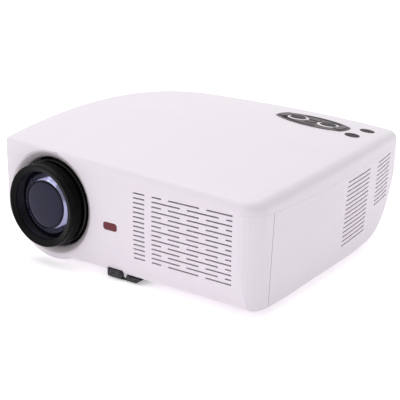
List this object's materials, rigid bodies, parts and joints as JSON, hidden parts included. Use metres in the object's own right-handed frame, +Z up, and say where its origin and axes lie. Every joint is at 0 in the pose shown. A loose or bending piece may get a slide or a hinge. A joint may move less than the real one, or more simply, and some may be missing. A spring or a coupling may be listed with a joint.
{
  "type": "projector with built-in disc player",
  "caption": "Desktop projector in a domed white case with a round-collared focusing lens, slot grilles, keypad, rear sockets, tilting stand and a disc tray in its left side.",
  "frame": {"origin": "bottom centre of the whole part, on the plane of the rubber feet", "axes": "+Z up, -Y out of the lens (the front), +X to the right as the front is faced"},
  "size_m": [0.326, 0.371, 0.1446],
  "materials": {
    "white_shell": "fine satin white moulding with a faint pink cast",
    "recess_grey": "satin light grey moulding",
    "lens_black": "satin black moulding",
    "hood_black": "semi-gloss black moulding",
    "lens_glass": "coated blue-violet glass",
    "clear_acrylic": "clear acrylic plate",
    "black_resin": "heat-resistant black resin",
    "mirror_glass": "front-surface mirror",
    "lcd_dark": "dark LCD panel",
    "led_yellow": "LED board with phosphor",
    "sink_aluminium": "extruded aluminium",
    "fan_black": "glass-filled black plastic",
    "sheet_steel": "zinc-plated sheet steel",
    "tray_black": "black tray moulding",
    "steel": "bright steel",
    "sled_metal": "die-cast carriage",
    "board_green": "solder-masked circuit board",
    "board_tan": "single-sided power board",
    "vga_blue": "blue connector insert",
    "panel_grey": "dark grey panel",
    "transformer_yellow": "taped transformer core",
    "capacitor_black": "sleeved capacitors",
    "speaker_black": "speaker frame and paper cone",
    "ir_red": "dark red infrared window",
    "keypad_grey": "grey-brown satin keypad",
    "ring_white": "white trim",
    "key_dark": "dark grey key",
    "key_grey": "grey key",
    "button_dark": "dark button",
    "stand_black": "grained black stand with a rubbery grip",
    "fittings": "rubber feet, brass inserts and steel screws"
  },
  "bodies": {
    "housing": {"front_bezel": "white_shell", "lower_case": "white_shell", "top_cover": "white_shell", "lens_recess": "recess_grey", "lens_sleeve": "lens_black", "light_box": "black_resin", "light_box_cover": "black_resin", "fold_mirror": "mirror_glass", "lcd_panel": "lcd_dark", "fresnel_lenses": "clear_acrylic", "condenser_lens": "clear_acrylic", "led_module": "led_yellow", "heat_sink": "sink_aluminium", "exhaust_fan_frame": "fan_black", "board_fan_frame": "fan_black", "drive_shelf": "sheet_steel", "drive_case": "sheet_steel", "main_board": "board_green", "hdmi_sockets": "sheet_steel", "vga_socket": "vga_blue", "usb_sockets": "sheet_steel", "av_jacks": "lens_black", "rear_panel": "panel_grey", "mains_inlet": "lens_black", "power_board": "board_tan", "power_transformer": "transformer_yellow", "power_capacitors": "capacitor_black", "speaker": "speaker_black", "ir_window": "ir_red", "keypad_plate": "keypad_grey", "keypad_rings": "ring_white", "keypad_board": "board_green", "stand_pin": "steel", "base_fittings": "fittings"},
    "focus": {"focus_ring": "lens_black"},
    "lens": {"lens_barrel": "lens_black", "lens_hood": "hood_black", "front_glass": "lens_glass", "middle_glass": "lens_glass", "rear_glass": "lens_glass"},
    "exhaust_rotor": {"exhaust_fan_rotor": "fan_black"},
    "board_rotor": {"board_fan_rotor": "fan_black"},
    "tray": {"disc_tray": "tray_black", "tray_front": "white_shell", "spindle_motor": "steel", "guide_rods": "steel"},
    "rails": {"tray_rails": "steel"},
    "eject": {"eject_button": "recess_grey"},
    "hub": {"spindle_hub": "tray_black"},
    "sled": {"laser_sled": "sled_metal"},
    "rocker": {"rocker_switch": "lens_black"},
    "left_disc": {"left_disc_key": "key_dark"},
    "right_disc": {"right_disc_key": "key_dark"},
    "upper_centre": {"upper_centre_key": "key_grey"},
    "lower_centre": {"lower_centre_key": "key_grey"},
    "left_end": {"left_end_key": "key_grey"},
    "right_end": {"right_end_key": "key_grey"},
    "power": {"power_button": "button_dark"},
    "source": {"source_button": "button_dark"},
    "stand": {"tilt_stand": "stand_black"}
  },
  "joints": [
    {"name": "focus_turn", "type": "hinge", "parent": "housing", "child": "focus", "pos_m": [-0.098, -0.1595, 0.0654], "axis": [0, -1, 0], "range_deg": [0, 120]},
    {"name": "focus_slide", "type": "slide", "parent": "housing", "child": "lens", "axis": [0, -1, 0], "range_m": [0, 0.008]},
    {"name": "exhaust_fan_spin", "type": "hinge", "parent": "housing", "child": "exhaust_rotor", "pos_m": [0.141, 0.0345, 0.059], "axis": [1, 0, 0], "continuous": true},
    {"name": "board_fan_spin", "type": "hinge", "parent": "housing", "child": "board_rotor", "pos_m": [0.1335, 0.1205, 0.068], "axis": [1, 0, 0], "continuous": true},
    {"name": "tray_slide", "type": "slide", "parent": "housing", "child": "tray", "axis": [-1, 0, 0], "range_m": [0, 0.132]},
    {"name": "rail_slide", "type": "slide", "parent": "housing", "child": "rails", "axis": [-1, 0, 0], "range_m": [0, 0.066]},
    {"name": "eject_press", "type": "slide", "parent": "tray", "child": "eject", "axis": [1, 0, 0], "range_m": [0, 0.0008], "stiffness_N_per_m": 500},
    {"name": "disc_spin", "type": "hinge", "parent": "tray", "child": "hub", "pos_m": [-0.087, 0.0105, 0.1155], "axis": [0, 0, 1], "continuous": true},
    {"name": "laser_travel", "type": "slide", "parent": "tray", "child": "sled", "axis": [0, 1, 0], "range_m": [0, 0.022]},
    {"name": "rocker_tilt", "type": "hinge", "parent": "housing", "child": "rocker", "pos_m": [0.081, 0.1485, 0.077], "axis": [1, 0, 0], "range_deg": [-7, 7]},
    {"name": "left_disc_press", "type": "slide", "parent": "housing", "child": "left_disc", "axis": [-0.0826, -0.078, -0.9935], "range_m": [0, 0.0008], "stiffness_N_per_m": 600},
    {"name": "right_disc_press", "type": "slide", "parent": "housing", "child": "right_disc", "axis": [-0.0826, -0.078, -0.9935], "range_m": [0, 0.0008], "stiffness_N_per_m": 600},
    {"name": "upper_centre_press", "type": "slide", "parent": "housing", "child": "upper_centre", "axis": [-0.0826, -0.078, -0.9935], "range_m": [0, 0.0008], "stiffness_N_per_m": 600},
    {"name": "lower_centre_press", "type": "slide", "parent": "housing", "child": "lower_centre", "axis": [-0.0826, -0.078, -0.9935], "range_m": [0, 0.0008], "stiffness_N_per_m": 600},
    {"name": "left_end_press", "type": "slide", "parent": "housing", "child": "left_end", "axis": [-0.0826, -0.078, -0.9935], "range_m": [0, 0.0008], "stiffness_N_per_m": 600},
    {"name": "right_end_press", "type": "slide", "parent": "housing", "child": "right_end", "axis": [-0.0826, -0.078, -0.9935], "range_m": [0, 0.0008], "stiffness_N_per_m": 600},
    {"name": "power_press", "type": "slide", "parent": "housing", "child": "power", "axis": [-0.1043, -0.0861, -0.9908], "range_m": [0, 0.0008], "stiffness_N_per_m": 600},
    {"name": "source_press", "type": "slide", "parent": "housing", "child": "source", "axis": [-0.11, -0.0556, -0.9924], "range_m": [0, 0.0008], "stiffness_N_per_m": 600},
    {"name": "stand_fold", "type": "hinge", "parent": "housing", "child": "stand", "pos_m": [0.00105, -0.1235, 0.0041], "axis": [1, 0, 0], "range_deg": [0, 65]}
  ],
  "couplings": [
    {"joint": "focus_slide", "follows": "focus_turn", "m_per_rad": 0.0038197},
    {"joint": "rail_slide", "follows": "tray_slide", "ratio": 0.5}
  ]
}
